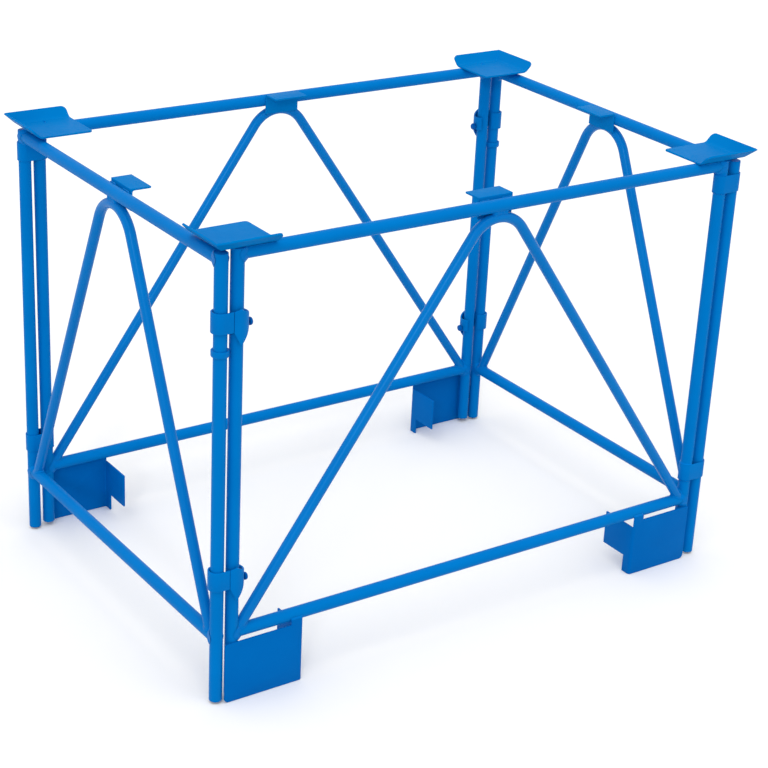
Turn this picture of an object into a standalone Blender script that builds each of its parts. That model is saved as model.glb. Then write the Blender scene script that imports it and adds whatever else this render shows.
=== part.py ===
"""Folding tubular steel stacking frame: four panels round a rectangular load, hinged at
two opposite corners and latched at the other two, with corner plates that carry the next tier.

Metres, +Z up. The origin is the centre of the load space on the floor, +X runs along the
long side and +Y to the back. The back and right panels are the front and left ones turned
by half a turn about Z.
"""
import math

import bmesh
import bpy
from mathutils import Matrix, Vector

# Load space
LOAD_L = 1.200
LOAD_W = 0.800
END_CLEAR = 0.0165
SIDE_CLEAR = 0.0075

# Tubes
TUBE_R = 0.0125
TUBE_WALL = 0.002
BRACE_R = 0.010
POST_GAP = 0.009
CAP_T = 0.003
TUBE_EDGE = 0.0008

# Heights of the long panels' rail axes and of the post feet
LONG_TOP_Z = 0.945
LONG_BOTTOM_Z = 0.1495
SHORT_TOP_STEP = 0.007
SHORT_BOTTOM_STEP = 0.003
LONG_FOOT_Z = 0.010
SHORT_FOOT_Z = 0.005

# Braces
BRACE_BEND_R = 0.075
BRACE_FOOT_CLEAR = 0.0008

# Middle brackets, rolled angle
ANGLE_LEG = 0.045
ANGLE_T = 0.004
ANGLE_LEN = 0.084
ANGLE_FILLET = 0.004
ANGLE_RISE = 0.0045

# Corner plates, measured from the long post's axis and the rail's axis
PLATE_T = 0.004
PLATE_ALONG_IN = 0.078
PLATE_PAST_POST = 0.001
PLATE_REACH_IN = 0.101
PLATE_REACH_OUT = 0.007
PLATE_INNER_R = 0.008
LIP_BEND_R = 0.015
LIP_ANGLE = math.radians(45.0)
LIP_STRAIGHT = 0.022
LIP_END_R = 0.012

# Shoe plates, measured from the long post's axis and the bottom rail
SHOE_T = 0.004
SHOE_IN = 0.158
SHOE_OUT_LATCHED = 0.023
SHOE_OUT_HINGED = 0.005
SHOE_FOOT_Z = 0.0
SHOE_SLIT = 0.002
SHOE_TAB_BELOW_AXIS = 0.0035
SHOE_TAB_W = 0.028
SHOE_SLIT_END_LATCHED = 0.010
SHOE_SLIT_END_HINGED = 0.044
SHOE_CORNER_R = 0.010
SHOE_BEND_R = 0.003
FLANGE_REACH = 0.095
FLANGE_BELOW_RAIL = 0.014
FLANGE_FOOT_Z = 0.040
TONGUE_REACH = 0.025

# Hinge straps
STRAP_H = 0.040
STRAP_T = 0.003
STRAP_CLEAR = 0.0004
STRAP_BELOW_TOP = 0.040
STRAP_ABOVE_BOTTOM = 0.0705

# Latch clips: a band looped round the short post and a shield round the long one
CLIP_T = 0.004
CLIP_H = 0.041
CLIP_BELOW_TOP = 0.128
CLIP_ABOVE_BOTTOM = 0.1295
LOOP_CLEAR = 0.0011
LOOP_OFFSET = 0.0008
LOOP_END_DEG = 30.0
SHIELD_CLEAR = 0.0065
SHIELD_END_DEG = 48.0
SHIELD_PEAK_DEG = -95.0
SHIELD_SIDE_DEG = -35.0
SHIELD_PEAK_RISE = 0.0055
SHIELD_POINT_DROP = 0.027
SHIELD_SIDE_DROP = 0.0075
SHIELD_SIDE_LIFT = 0.0025

# Lock pins and stop rings
PIN_BELOW_MID = 0.0105
PIN_R = 0.004
PIN_HOLE_CLEAR = 0.0004
PIN_SHOWN = 0.003
PIN_CHAMFER = 0.0008
KNOB_R = 0.008
KNOB_T = 0.0065
KNOB_ROUND = 0.002
RING_T = 0.005
RING_H = 0.013
RING_BELOW_CLIP = 0.0355
RING_ROUND = 0.003

# Gap that a welded piece keeps to what it is welded to, and round edges of sheet metal
WELD_GAP = 0.0003
SHEET_EDGE = 0.0005

# Facets round a tube and round a small pin
TUBE_SIDES = 24
RAIL_BEVEL = 8
BRACE_BEVEL = 4
PIN_SIDES = 16

# Places that follow from the sizes above
SHORT_TOP_Z = LONG_TOP_Z - SHORT_TOP_STEP
SHORT_BOTTOM_Z = LONG_BOTTOM_Z - SHORT_BOTTOM_STEP
STRAP_UPPER_Z = LONG_TOP_Z - STRAP_BELOW_TOP
STRAP_LOWER_Z = LONG_BOTTOM_Z + STRAP_ABOVE_BOTTOM
CLIP_UPPER_Z = LONG_TOP_Z - CLIP_BELOW_TOP
CLIP_LOWER_Z = LONG_BOTTOM_Z + CLIP_ABOVE_BOTTOM
POST_PITCH = 2.0 * TUBE_R + POST_GAP
SHORT_X = LOAD_L / 2.0 + END_CLEAR + TUBE_R
PANEL_Y = LOAD_W / 2.0 + SIDE_CLEAR + TUBE_R
LONG_POST_X = SHORT_X - POST_PITCH
RAIL_FACE = TUBE_R + WELD_GAP
HALF_TURN = Matrix.Rotation(math.pi, 4, "Z")


def clear_scene():
    for obj in list(bpy.data.objects):
        bpy.data.objects.remove(obj, do_unlink=True)


def new_collection(name):
    collection = bpy.data.collections.new(name)
    bpy.context.scene.collection.children.link(collection)
    return collection


def enamel(name, rgb, roughness, metallic=0.0):
    """Blue enamel on steel, as a Principled material."""
    material = bpy.data.materials.new(name)
    material.use_nodes = True
    shader = material.node_tree.nodes["Principled BSDF"]
    shader.inputs["Base Color"].default_value = (*rgb, 1.0)
    shader.inputs["Roughness"].default_value = roughness
    shader.inputs["Metallic"].default_value = metallic
    return material


def draft(name, data):
    """A working object at the origin, still to be evaluated."""
    obj = bpy.data.objects.new(name, data)
    DRAFTS.objects.link(obj)
    return obj


def cutter(name, data):
    """A wire-frame object that only cuts."""
    obj = bpy.data.objects.new(name, data)
    CUTTERS.objects.link(obj)
    obj.hide_render = True
    obj.display_type = "WIRE"
    return obj


def cut(obj, tool):
    modifier = obj.modifiers.new(tool.name, "BOOLEAN")
    modifier.operation = "DIFFERENCE"
    modifier.solver = "EXACT"
    modifier.object = tool


def round_edges(obj, width, segments=1):
    modifier = obj.modifiers.new("edges", "BEVEL")
    modifier.width = width
    modifier.segments = segments
    modifier.limit_method = "ANGLE"
    modifier.angle_limit = math.radians(50.0)
    modifier.use_clamp_overlap = True


def thicken(obj, thickness, offset):
    modifier = obj.modifiers.new("thickness", "SOLIDIFY")
    modifier.thickness = thickness
    modifier.offset = offset
    modifier.use_even_offset = True


def finished(obj, name):
    """The evaluated mesh of a draft, welded and smooth, with the draft removed."""
    bpy.context.view_layer.update()
    depsgraph = bpy.context.evaluated_depsgraph_get()
    mesh = bpy.data.meshes.new_from_object(obj.evaluated_get(depsgraph))
    mesh.name = name
    bm = bmesh.new()
    bm.from_mesh(mesh)
    bmesh.ops.remove_doubles(bm, verts=bm.verts, dist=0.00002)
    bm.to_mesh(mesh)
    bm.free()
    mesh.shade_smooth()
    mesh.set_sharp_from_angle(angle=math.radians(35.0))
    bpy.data.objects.remove(obj, do_unlink=True)
    return mesh


def bm_mesh(name, bm):
    mesh = bpy.data.meshes.new(name)
    bm.to_mesh(mesh)
    bm.free()
    return mesh


def arc(centre, radius, start, end, steps):
    """Points on an arc in a plane, angles in radians."""
    cx, cy = centre
    angles = [start + (end - start) * i / steps for i in range(steps + 1)]
    return [(cx + radius * math.cos(a), cy + radius * math.sin(a)) for a in angles]


def turned(name, profile, sides, closed=False):
    """A profile of (radius, height) points from top to bottom, turned about Z."""
    count = len(profile)
    edges = [(i, i + 1) for i in range(count - 1)]
    if closed:
        edges.append((count - 1, 0))
    mesh = bpy.data.meshes.new(name)
    mesh.from_pydata([(r, 0.0, z) for r, z in profile], edges, [])
    obj = draft(name, mesh)
    modifier = obj.modifiers.new("turn", "SCREW")
    modifier.axis = "Z"
    modifier.steps = sides
    modifier.render_steps = sides
    modifier.use_merge_vertices = True
    modifier.merge_threshold = 0.00001
    return obj


def rod_tool(name, radius, length, sides, matrix):
    """A cylinder along the Z of its matrix, used as a cutter."""
    bm = bmesh.new()
    bmesh.ops.create_cone(bm, cap_ends=True, segments=sides, radius1=radius, radius2=radius,
                          depth=length, matrix=matrix)
    return cutter(name, bm_mesh(name, bm))


def box_tool(name, low, high):
    """A box between two corners, used as a cutter."""
    bm = bmesh.new()
    size = Vector(high) - Vector(low)
    centre = (Vector(high) + Vector(low)) / 2.0
    matrix = Matrix.Translation(centre) @ Matrix.Diagonal((*size, 1.0))
    bmesh.ops.create_cube(bm, size=1.0, matrix=matrix)
    return cutter(name, bm_mesh(name, bm))


def bar(name, points, radius, resolution):
    """A round bar along a path, as a welded mesh."""
    curve = bpy.data.curves.new(name, "CURVE")
    curve.dimensions = "3D"
    curve.bevel_depth = radius
    curve.bevel_resolution = resolution
    curve.use_fill_caps = True
    spline = curve.splines.new("POLY")
    spline.points.add(len(points) - 1)
    for point, co in zip(spline.points, points):
        point.co = (*co, 1.0)
    return draft(name, finished(draft(name, curve), name))


def flat_outline(name, loops, half_thickness, matrix=None):
    """Closed outlines in XY, filled and extruded both ways, as a welded mesh."""
    curve = bpy.data.curves.new(name, "CURVE")
    curve.dimensions = "2D"
    curve.fill_mode = "BOTH"
    curve.extrude = half_thickness
    for loop in loops:
        spline = curve.splines.new("POLY")
        spline.points.add(len(loop) - 1)
        for point, (x, y) in zip(spline.points, loop):
            point.co = (x, y, 0.0, 1.0)
        spline.use_cyclic_u = True
    mesh = finished(draft(name, curve), name)
    if matrix is not None:
        mesh.transform(matrix)
    return draft(name, mesh)


def bent_sheet(name, columns, heights):
    """A one-row strip of sheet that follows plan points, between two heights at each."""
    count = len(columns) - 1
    bm = bmesh.new()
    bmesh.ops.create_grid(bm, x_segments=count, y_segments=1, size=1.0)
    for vert in bm.verts:
        i = round((vert.co.x + 1.0) / 2.0 * count)
        low, high = heights[i]
        x, y = columns[i]
        vert.co = (x, y, high if vert.co.y > 0.0 else low)
    return bm


def post_mesh(name, foot, top):
    """A tube open at its foot and capped at the top."""
    inner = TUBE_R - TUBE_WALL
    profile = [
        (0.0, top),
        (TUBE_R - TUBE_EDGE, top),
        (TUBE_R, top - TUBE_EDGE),
        (TUBE_R, foot),
        (inner, foot),
        (inner, top - CAP_T),
        (0.0, top - CAP_T),
    ]
    return finished(turned(name, profile, TUBE_SIDES), name)


def rail_mesh(name, half, z):
    """A rail between two posts, coped round them at both ends."""
    obj = bar(name, [(-half, 0.0, z), (half, 0.0, z)], TUBE_R, RAIL_BEVEL)
    for side in (-1, 1):
        place = Matrix.Translation((side * half, 0.0, z))
        tool = rod_tool(f"{name}_cope_{side}", RAIL_FACE, 4.0 * TUBE_R, TUBE_SIDES, place)
        cut(obj, tool)
    return finished(obj, name)


def brace_mesh(name, half, top_z, bottom_z):
    """One tube bent to an upturned V under the top rail, its feet coped on the bottom rail."""
    apex = top_z - RAIL_FACE - BRACE_R
    seat = bottom_z + TUBE_R
    lean = math.atan2(apex - seat, half)
    foot = half - TUBE_R - BRACE_R / math.sin(lean) - BRACE_FOOT_CLEAR
    centre = apex - BRACE_BEND_R
    reach = math.hypot(foot, centre - seat)
    tangent = math.atan2(seat - centre, foot) + math.acos(BRACE_BEND_R / reach)
    slope = math.tan(math.pi / 2.0 - tangent)
    end = foot + (seat - bottom_z) / slope
    bend = arc((0.0, centre), BRACE_BEND_R, math.pi - tangent, tangent, 12)
    path = [(-end, bottom_z)] + bend + [(end, bottom_z)]
    obj = bar(name, [(x, 0.0, z) for x, z in path], BRACE_R, BRACE_BEVEL)
    place = Matrix.Translation((0.0, 0.0, bottom_z)) @ Matrix.Rotation(math.pi / 2.0, 4, "Y")
    cut(obj, rod_tool(f"{name}_cope", RAIL_FACE, 2.0 * half, TUBE_SIDES, place))
    return finished(obj, name)


def bracket_mesh(name, top_z):
    """Rolled angle: one leg down the rail's inner side, the other flat towards the load."""
    top = top_z + TUBE_R + ANGLE_RISE
    fillet = arc((ANGLE_T + ANGLE_FILLET, -ANGLE_T - ANGLE_FILLET), ANGLE_FILLET,
                 math.pi / 2.0, math.pi, 4)
    outline = [(0.0, 0.0), (0.0, -ANGLE_LEG), (ANGLE_T, -ANGLE_LEG)]
    outline += list(reversed(fillet))
    outline += [(ANGLE_LEG, -ANGLE_T), (ANGLE_LEG, 0.0)]
    turn = Matrix(((0, 0, 1, 0), (1, 0, 0, 0), (0, 1, 0, 0), (0, 0, 0, 1)))
    place = Matrix.Translation((0.0, RAIL_FACE, top)) @ turn
    obj = flat_outline(name, [outline], ANGLE_LEN / 2.0, place)
    round_edges(obj, SHEET_EDGE)
    return finished(obj, name)


def lip_stations():
    """Run and rise of the bent lip, from the flat to its free edge."""
    steps = 3
    stations = []
    for i in range(steps + 1):
        a = LIP_ANGLE * i / steps
        stations.append((LIP_BEND_R * math.sin(a), LIP_BEND_R * (1.0 - math.cos(a))))
    run, rise = stations[-1]
    run += LIP_STRAIGHT * math.cos(LIP_ANGLE)
    rise += LIP_STRAIGHT * math.sin(LIP_ANGLE)
    return stations + [(run, rise)]


def corner_plate_mesh(name, end):
    """Plate on the rail's end, its two outer edges bent up to a mitred corner."""
    lip = lip_stations()
    last = len(lip)
    flat_x = LONG_POST_X + POST_PITCH + PLATE_PAST_POST
    xs = [LONG_POST_X - PLATE_ALONG_IN] + [flat_x + run for run, rise in lip]
    ys = [PLATE_REACH_IN] + [-PLATE_REACH_OUT - run for run, rise in lip]
    top = LONG_TOP_Z + RAIL_FACE + PLATE_T
    bm = bmesh.new()
    bmesh.ops.create_grid(bm, x_segments=last, y_segments=last, size=1.0)
    grid = {}
    for vert in bm.verts:
        i = round((vert.co.x + 1.0) / 2.0 * last)
        j = round((vert.co.y + 1.0) / 2.0 * last)
        grid[i, j] = vert
        rise = lip[max(i, j, 1) - 1][1]
        vert.co = (end * xs[i], ys[j], top + rise)
    for i in range(1, last):
        bmesh.ops.connect_verts(bm, verts=[grid[i, i], grid[i + 1, i + 1]])
    for corner, radius in ((grid[0, last], LIP_END_R), (grid[last, 0], LIP_END_R),
                           (grid[0, 0], PLATE_INNER_R)):
        bmesh.ops.bevel(bm, geom=[corner], offset=radius, segments=4, profile=0.5,
                        affect="VERTICES")
    if end > 0:
        bmesh.ops.reverse_faces(bm, faces=bm.faces)
    obj = draft(name, bm_mesh(name, bm))
    thicken(obj, PLATE_T, -1.0)
    round_edges(obj, SHEET_EDGE)
    return finished(obj, name)


def shoe_mesh(name, end, past_post, slit_end):
    """Sheet against the outside of post and rail, bent inwards at its inner end."""
    mid = -RAIL_FACE - SHOE_T / 2.0
    bend_r = SHOE_BEND_R + SHOE_T / 2.0
    inner_x = LONG_POST_X - SHOE_IN
    bend_x = inner_x + SHOE_T / 2.0 + bend_r
    flange_end = -RAIL_FACE - SHOE_T + FLANGE_REACH
    tab_top = LONG_BOTTOM_Z - SHOE_TAB_BELOW_AXIS
    rail_low = LONG_BOTTOM_Z - TUBE_R
    flange_top = min(LONG_BOTTOM_Z, SHORT_BOTTOM_Z) - TUBE_R - FLANGE_BELOW_RAIL
    plan = [(LONG_POST_X + past_post, mid)]
    plan += arc((bend_x, mid + bend_r), bend_r, -math.pi / 2.0, -math.pi, 4)
    plan += [(inner_x + SHOE_T / 2.0, flange_end)]
    plan = [(end * x, y) for x, y in plan]
    bm = bent_sheet(name, plan, [(SHOE_FOOT_Z, tab_top)] * len(plan))
    foot_corner = min(bm.verts, key=lambda v: v.co.z - end * v.co.x)
    bmesh.ops.bevel(bm, geom=[foot_corner], offset=SHOE_CORNER_R, segments=4, profile=0.5,
                    affect="VERTICES")
    obj = draft(name, bm_mesh(name, bm))
    thicken(obj, SHOE_T, 0.0)
    slit = sorted((end * (inner_x + SHOE_TAB_W), end * (LONG_POST_X - slit_end)))
    wide = sorted((end * (inner_x - SHOE_T), end * (bend_x + SHOE_T)))
    cut(obj, box_tool(f"{name}_slit", (slit[0], 2.0 * mid, rail_low - SHOE_SLIT),
                      (slit[1], 0.0, tab_top + SHOE_SLIT)))
    cut(obj, box_tool(f"{name}_flange_top", (wide[0], -TUBE_R, flange_top),
                      (wide[1], FLANGE_REACH, tab_top + SHOE_SLIT)))
    cut(obj, box_tool(f"{name}_notch", (wide[0], -RAIL_FACE - SHOE_T + TONGUE_REACH, -SHOE_T),
                      (wide[1], FLANGE_REACH, FLANGE_FOOT_Z)))
    round_edges(obj, SHEET_EDGE)
    return finished(obj, name)


def strap_mesh(name):
    """Ring of flat bar round both posts of a corner, centred on the short post's axis."""
    loops = []
    for radius in (TUBE_R + STRAP_CLEAR + STRAP_T, TUBE_R + STRAP_CLEAR):
        loops.append(arc((0.0, 0.0), radius, math.pi / 2.0, 1.5 * math.pi, 12)
                     + arc((POST_PITCH, 0.0), radius, -math.pi / 2.0, math.pi / 2.0, 12))
    return finished(flat_outline(name, loops, STRAP_H / 2.0), name)


def shield_start():
    """Angle about the long post where the shield meets the band's straight run."""
    band_mid = TUBE_R + LOOP_CLEAR + CLIP_T / 2.0
    shield_mid = TUBE_R + SHIELD_CLEAR + CLIP_T / 2.0
    return math.asin(band_mid / shield_mid) - math.pi


def band_mesh(name):
    """Band looped round the short post, its outer run cut to meet the shield."""
    inner = TUBE_R + LOOP_CLEAR
    outer = inner + CLIP_T
    mid = inner + CLIP_T / 2.0
    start = shield_start()
    shield_mid = TUBE_R + SHIELD_CLEAR + CLIP_T / 2.0
    meet_x = POST_PITCH + shield_mid * math.cos(start)
    along = Vector((-math.sin(start), math.cos(start)))

    def run_end(y):
        return meet_x - (WELD_GAP + (y + mid) * along.y) / along.x

    free = math.radians(LOOP_END_DEG)
    centre = (-LOOP_OFFSET, 0.0)
    outline = arc(centre, outer, free, 1.5 * math.pi, 20)
    outline += [(run_end(-outer), -outer), (run_end(-inner), -inner)]
    outline += arc(centre, inner, 1.5 * math.pi, free, 20)
    obj = flat_outline(name, [outline], CLIP_H / 2.0)
    round_edges(obj, SHEET_EDGE)
    return finished(obj, name)


def shield_mesh(name):
    """Curved plate round the long post's far side: a peak above, a point below."""
    radius = TUBE_R + SHIELD_CLEAR + CLIP_T / 2.0
    start = shield_start()
    peak = math.radians(SHIELD_PEAK_DEG)
    side = math.radians(SHIELD_SIDE_DEG)
    end = math.radians(SHIELD_END_DEG)
    half = CLIP_H / 2.0
    corners = [
        (start, -half, half),
        (peak, -half - SHIELD_POINT_DROP, half + SHIELD_PEAK_RISE),
        (side, -half + SHIELD_SIDE_LIFT, half - SHIELD_SIDE_DROP),
        (end, -half + SHIELD_SIDE_LIFT, half - SHIELD_SIDE_DROP),
    ]
    angles = [start, start + 0.03]
    heights = [(-half, half), (-half, half)]
    for (a0, low0, high0), (a1, low1, high1) in zip(corners, corners[1:]):
        steps = max(2, round((a1 - a0) / math.radians(16.0)))
        for i in range(1, steps + 1):
            t = i / steps
            angles.append(a0 + (a1 - a0) * t)
            heights.append((low0 + (low1 - low0) * t, high0 + (high1 - high0) * t))
    plan = [(POST_PITCH + radius * math.cos(a), radius * math.sin(a)) for a in angles]
    obj = draft(name, bm_mesh(name, bent_sheet(name, plan, heights)))
    thicken(obj, CLIP_T, 0.0)
    place = Matrix.Translation((POST_PITCH + radius, 0.0, -PIN_BELOW_MID))
    place = place @ Matrix.Rotation(math.pi / 2.0, 4, "Y")
    cut(obj, rod_tool(f"{name}_pin_hole", PIN_R + PIN_HOLE_CLEAR, 4.0 * CLIP_T, PIN_SIDES, place))
    round_edges(obj, SHEET_EDGE)
    return finished(obj, name)


def pin_mesh(name):
    """Lock pin turned about its own axis, nose at the origin and knob above."""
    shank = SHIELD_CLEAR - WELD_GAP + CLIP_T + PIN_SHOWN
    top = shank + KNOB_T
    crown = arc((KNOB_R - KNOB_ROUND, top - KNOB_ROUND), KNOB_ROUND, math.pi / 2.0, 0.0, 3)
    profile = [(0.0, top)] + crown
    profile += [
        (KNOB_R, shank + PIN_CHAMFER),
        (KNOB_R - PIN_CHAMFER, shank),
        (PIN_R, shank),
        (PIN_R, PIN_CHAMFER),
        (PIN_R - PIN_CHAMFER, 0.0),
        (0.0, 0.0),
    ]
    return finished(turned(name, profile, PIN_SIDES), name)


def ring_mesh(name):
    """Stop collar on the short post, rounded at its foot, top face at the origin."""
    inner = TUBE_R + WELD_GAP
    outer = inner + RING_T
    foot = arc((outer - RING_ROUND, -RING_H + RING_ROUND), RING_ROUND, 0.0, -math.pi / 2.0, 3)
    profile = [(inner, 0.0), (outer, 0.0)] + foot + [(inner, -RING_H)]
    return finished(turned(name, profile, TUBE_SIDES, closed=True), name)


def empty(name, place, parent=None):
    """A joint axis: an empty at its place, remembered with its world matrix."""
    obj = bpy.data.objects.new(name, None)
    FRAME.objects.link(obj)
    obj.empty_display_size = 0.05
    attach(obj, place, parent)
    return obj


def attach(obj, place, parent):
    """Puts an object at a world place, moved by its parent."""
    WORLD[obj.name] = place
    obj.parent = parent
    base = WORLD[parent.name] if parent else Matrix.Identity(4)
    obj.matrix_basis = base.inverted() @ place


def piece(name, mesh, material, place, parent):
    """A finished sub-part with its own name."""
    if not mesh.materials:
        mesh.materials.append(material)
    obj = bpy.data.objects.new(name, mesh)
    FRAME.objects.link(obj)
    attach(obj, place, parent)
    return obj


def add_panel(side, place, axis, meshes, latch_sign):
    """The tubes and the bracket that every panel has."""
    post, half, rails, brace, bracket = meshes
    for tag, sign in (("latch", latch_sign), ("hinge", -latch_sign)):
        at = place @ Matrix.Translation((sign * half, 0.0, 0.0))
        piece(f"{side}_post_{tag}", post, PAINT["tube"], at, axis)
    piece(f"{side}_rail_top", rails[0], PAINT["tube"], place, axis)
    piece(f"{side}_rail_bottom", rails[1], PAINT["tube"], place, axis)
    piece(f"{side}_brace", brace, PAINT["brace"], place, axis)
    piece(f"{side}_bracket", bracket, PAINT["plate"], place, axis)


def panel_meshes(kind, half, foot, top_z, bottom_z):
    """Meshes of a long or a short panel, in the panel's own frame."""
    post = post_mesh(f"{kind}_post", foot, top_z + TUBE_R)
    rails = (rail_mesh(f"{kind}_rail_top", half, top_z),
             rail_mesh(f"{kind}_rail_bottom", half, bottom_z))
    brace = brace_mesh(f"{kind}_brace", half, top_z, bottom_z)
    bracket = bracket_mesh(f"{kind}_bracket", top_z)
    return post, half, rails, brace, bracket


def add_plates(side, place, axis, plates, shoes):
    """Corner plates and shoes of a long panel, latched end first."""
    for tag, plate, shoe in zip(("latch", "hinge"), plates, shoes):
        piece(f"{side}_corner_plate_{tag}", plate, PAINT["plate"], place, axis)
        piece(f"{side}_shoe_{tag}", shoe, PAINT["plate"], place, axis)


def add_straps(side, corner, axis, mesh):
    """Two hinge straps, carried by the long panel of the corner."""
    for tag, z in (("upper", STRAP_UPPER_Z), ("lower", STRAP_LOWER_Z)):
        at = corner @ Matrix.Translation((0.0, 0.0, z))
        piece(f"{side}_hinge_strap_{tag}", mesh, PAINT["clip"], at, axis)


def add_clips(side, corner, parent, band, shield, pin):
    """Two latch clips, each on its own axis, with a pin on the clip's slide axis."""
    nose = POST_PITCH + TUBE_R + WELD_GAP
    for tag, z in (("upper", CLIP_UPPER_Z), ("lower", CLIP_LOWER_Z)):
        at = corner @ Matrix.Translation((0.0, 0.0, z))
        axis = empty(f"{side}_clip_axis_{tag}", at, parent)
        piece(f"{side}_clip_band_{tag}", band, PAINT["clip"], at, axis)
        piece(f"{side}_clip_shield_{tag}", shield, PAINT["clip"], at, axis)
        slide = at @ Matrix.Translation((nose, 0.0, -PIN_BELOW_MID))
        slide = slide @ Matrix.Rotation(math.pi / 2.0, 4, "Y")
        piece(f"{side}_lock_pin_{tag}", pin, PAINT["pin"], slide, axis)


clear_scene()
FRAME = new_collection("stacking_frame")
DRAFTS = new_collection("drafts")
CUTTERS = new_collection("cutters")
WORLD = {}
PAINT = {
    "tube": enamel("enamel_tube", (0.0, 0.19, 0.58), 0.38),
    "brace": enamel("enamel_brace", (0.0, 0.19, 0.58), 0.38),
    "plate": enamel("enamel_plate", (0.0, 0.20, 0.60), 0.42),
    "clip": enamel("enamel_clip", (0.0, 0.18, 0.56), 0.40),
    "pin": enamel("enamel_pin", (0.0, 0.15, 0.50), 0.35),
}

# Panel frames: X along the panel, +Y towards the load, the latched corner at -X for a long
# panel and at +X for a short one
front_place = Matrix.Translation((0.0, -PANEL_Y, 0.0))
left_place = Matrix.Translation((-SHORT_X, 0.0, 0.0)) @ Matrix.Rotation(-math.pi / 2.0, 4, "Z")
back_place = HALF_TURN @ front_place
right_place = HALF_TURN @ left_place

# Corners: on the short post's axis, +X towards the long post
front_left = Matrix.Translation((-SHORT_X, -PANEL_Y, 0.0))
front_right = Matrix.Translation((SHORT_X, -PANEL_Y, 0.0)) @ Matrix.Rotation(math.pi, 4, "Z")
back_right = HALF_TURN @ front_left
back_left = HALF_TURN @ front_right

front_axis = empty("front_panel_frame", front_place)
left_axis = empty("left_panel_axis", front_left, front_axis)
right_axis = empty("right_panel_axis", front_right, front_axis)
back_axis = empty("back_panel_axis", back_left, left_axis)

long_meshes = panel_meshes("long", LONG_POST_X, LONG_FOOT_Z, LONG_TOP_Z, LONG_BOTTOM_Z)
short_meshes = panel_meshes("short", PANEL_Y, SHORT_FOOT_Z, SHORT_TOP_Z, SHORT_BOTTOM_Z)
plates = [corner_plate_mesh(f"corner_plate_{end}", end) for end in (-1, 1)]
shoes = [shoe_mesh("shoe_latched", -1, SHOE_OUT_LATCHED, SHOE_SLIT_END_LATCHED),
         shoe_mesh("shoe_hinged", 1, SHOE_OUT_HINGED, SHOE_SLIT_END_HINGED)]
strap = strap_mesh("hinge_strap")
band = band_mesh("clip_band")
shield = shield_mesh("clip_shield")
pin = pin_mesh("lock_pin")
ring = ring_mesh("stop_ring")
ring_drop = CLIP_UPPER_Z - CLIP_H / 2.0 - RING_BELOW_CLIP

for side, place, axis, latched, hinged in (
    ("front", front_place, front_axis, front_left, front_right),
    ("back", back_place, back_axis, back_right, back_left),
):
    add_panel(side, place, axis, long_meshes, -1)
    add_plates(side, place, axis, plates, shoes)
    add_straps(side, hinged, axis, strap)
    add_clips(side, latched, axis, band, shield, pin)

for side, place, axis, latched in (
    ("left", left_place, left_axis, front_left),
    ("right", right_place, right_axis, back_right),
):
    add_panel(side, place, axis, short_meshes, 1)
    at = latched @ Matrix.Translation((0.0, 0.0, ring_drop))
    piece(f"{side}_stop_ring", ring, PAINT["clip"], at, axis)

bpy.context.view_layer.update()
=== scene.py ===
import math

import bpy
import numpy as np
from mathutils import Matrix


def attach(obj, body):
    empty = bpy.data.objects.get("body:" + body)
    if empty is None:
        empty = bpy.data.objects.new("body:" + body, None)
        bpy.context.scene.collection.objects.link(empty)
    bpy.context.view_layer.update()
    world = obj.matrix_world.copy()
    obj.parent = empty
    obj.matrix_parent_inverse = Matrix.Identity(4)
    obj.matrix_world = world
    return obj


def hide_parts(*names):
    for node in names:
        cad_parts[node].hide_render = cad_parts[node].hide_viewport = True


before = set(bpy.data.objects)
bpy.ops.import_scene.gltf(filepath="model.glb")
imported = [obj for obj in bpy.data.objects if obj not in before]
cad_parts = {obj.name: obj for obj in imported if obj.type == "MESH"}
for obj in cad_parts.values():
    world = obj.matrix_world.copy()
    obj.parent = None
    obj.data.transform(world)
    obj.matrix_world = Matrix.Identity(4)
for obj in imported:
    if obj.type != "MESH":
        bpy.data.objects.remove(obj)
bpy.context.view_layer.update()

# Tubes, plates and clips of the stacking frame, in metres; names in DEG are degrees and
# names in RAD radians
TUBE_R = 0.0134
TUBE_WALL = 0.002
CAP_T = 0.003
BRACE_R = 0.0111
POST_PITCH = 0.034
SHORT_X = 0.629
PANEL_Y = 0.420
LONG_POST_X = 0.595
WELD_GAP = 0.0003
RAIL_FACE = 0.0137
LONG_TOP_Z = 0.945
LONG_BOTTOM_Z = 0.1495
SHORT_TOP_Z = 0.938
SHORT_BOTTOM_Z = 0.1465
LONG_FOOT_Z = 0.010
SHORT_FOOT_Z = 0.005
BRACE_BEND_R = 0.075
LONG_BRACE_CLEAR = -0.0075
SHORT_BRACE_CLEAR = 0.0015
ANGLE_LEG = 0.045
ANGLE_T = 0.004
ANGLE_LEN = 0.084
ANGLE_RISE = 0.0036
PLATE_T = 0.004
PLATE_ALONG_IN = 0.078
PLATE_PAST_POST = 0.001
PLATE_REACH_IN = 0.101
PLATE_REACH_OUT = 0.007
PLATE_INNER_R = 0.008
LIP_BEND_R = 0.015
LIP_ANGLE = math.radians(45.0)
LIP_STRAIGHT = 0.022
LIP_END_R = 0.012
SHOE_T = 0.004
SHOE_IN = 0.158
SHOE_OUT = {"latch": 0.023, "hinge": 0.005}
SHOE_SLIT = 0.002
SHOE_TAB_BELOW_AXIS = 0.0035
SHOE_TAB_W = 0.028
SHOE_CORNER_R = 0.010
SHOE_TOP_R = {"latch": 0.008, "hinge": 0.002}
SHOE_BEND_R = 0.003
FLANGE_REACH = 0.095
FLANGE_BELOW_RAIL = 0.014
FLANGE_FOOT_Z = 0.040
TONGUE_REACH = 0.025
STRAP_H = 0.040
STRAP_T = 0.0021
STRAP_CLEAR = 0.0004
STRAP_Z = {"upper": 0.905, "lower": 0.220}
CLIP_T = 0.004
CLIP_H = 0.041
CLIP_Z = {"upper": 0.817, "lower": 0.279}
LOOP_CLEAR = 0.0007
LOOP_OFFSET = 0.0008
LOOP_START_DEG = 30.0
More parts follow.
